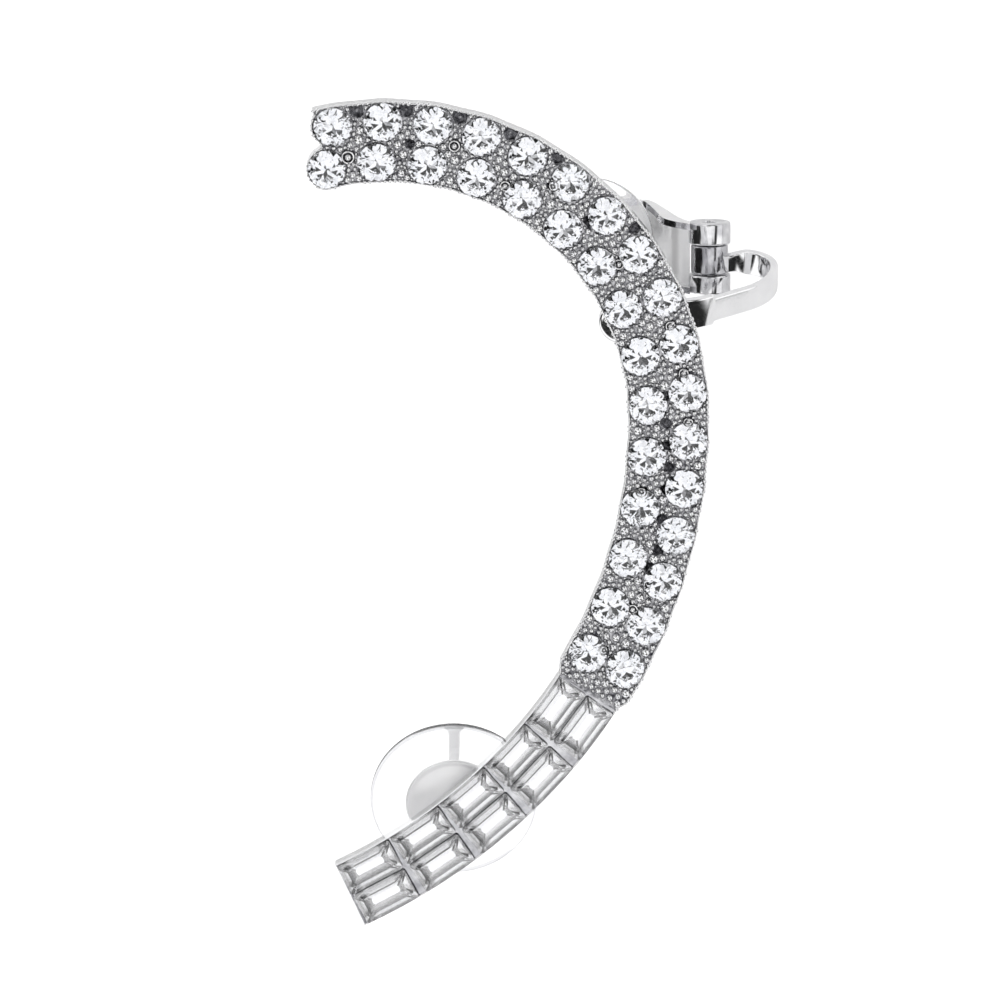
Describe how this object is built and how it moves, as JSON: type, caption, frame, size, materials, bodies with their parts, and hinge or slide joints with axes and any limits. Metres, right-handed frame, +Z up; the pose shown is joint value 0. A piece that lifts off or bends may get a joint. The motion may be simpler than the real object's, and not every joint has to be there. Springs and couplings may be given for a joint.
{
  "type": "ear cuff",
  "caption": "Curved rhinestone ear cuff with two rows of round stones, baguettes at one end, an ear post with a clear disc clutch and a hinged ear clip.",
  "frame": {"origin": "centre of the part's box, on the surface that it lies on", "axes": "+Z up, out of the face with stones, +Y towards the top of the ear, +X towards the clip"},
  "size_m": [0.0292, 0.0564, 0.02],
  "materials": {
    "silver": "bright plated",
    "pin": "satin",
    "crystal": "cut and foiled",
    "clear": "clear"
  },
  "bodies": {
    "cuff": {"band": "silver", "hinge_pin": "pin", "round_stone_outer_01": "crystal", "round_stone_outer_02": "crystal", "round_stone_outer_03": "crystal", "round_stone_outer_04": "crystal", "round_stone_outer_05": "crystal", "round_stone_outer_06": "crystal", "round_stone_outer_07": "crystal", "round_stone_outer_08": "crystal", "round_stone_outer_09": "crystal", "round_stone_outer_10": "crystal", "round_stone_outer_11": "crystal", "round_stone_outer_12": "crystal", "round_stone_outer_13": "crystal", "round_stone_outer_14": "crystal", "round_stone_outer_15": "crystal", "round_stone_outer_16": "crystal", "round_stone_outer_17": "crystal", "round_stone_inner_01": "crystal", "round_stone_inner_02": "crystal", "round_stone_inner_03": "crystal", "round_stone_inner_04": "crystal", "round_stone_inner_05": "crystal", "round_stone_inner_06": "crystal", "round_stone_inner_07": "crystal", "round_stone_inner_08": "crystal", "round_stone_inner_09": "crystal", "round_stone_inner_10": "crystal", "round_stone_inner_11": "crystal", "round_stone_inner_12": "crystal", "round_stone_inner_13": "crystal", "round_stone_inner_14": "crystal", "round_stone_inner_15": "crystal", "baguette_outer_01": "crystal", "baguette_inner_01": "crystal", "baguette_outer_02": "crystal", "baguette_inner_02": "crystal", "baguette_outer_03": "crystal", "baguette_inner_03": "crystal", "baguette_outer_04": "crystal", "baguette_inner_04": "crystal", "baguette_outer_05": "crystal", "baguette_inner_05": "crystal"},
    "paddle": {"paddle": "silver", "paddle_pad": "clear"},
    "clutch": {"clutch_nut": "silver", "clutch_disc": "clear"}
  },
  "joints": [
    {"name": "paddle_hinge", "type": "hinge", "parent": "cuff", "child": "paddle", "pos_m": [0.00929, 0.01631, 0.00159], "axis": [0.0259, 0.9951, 0.095], "range_deg": [-45, 48]},
    {"name": "clutch_slide", "type": "slide", "parent": "cuff", "child": "clutch", "axis": [-0.2428, 0.3851, -0.8904], "range_m": [0, 0.011]}
  ]
}
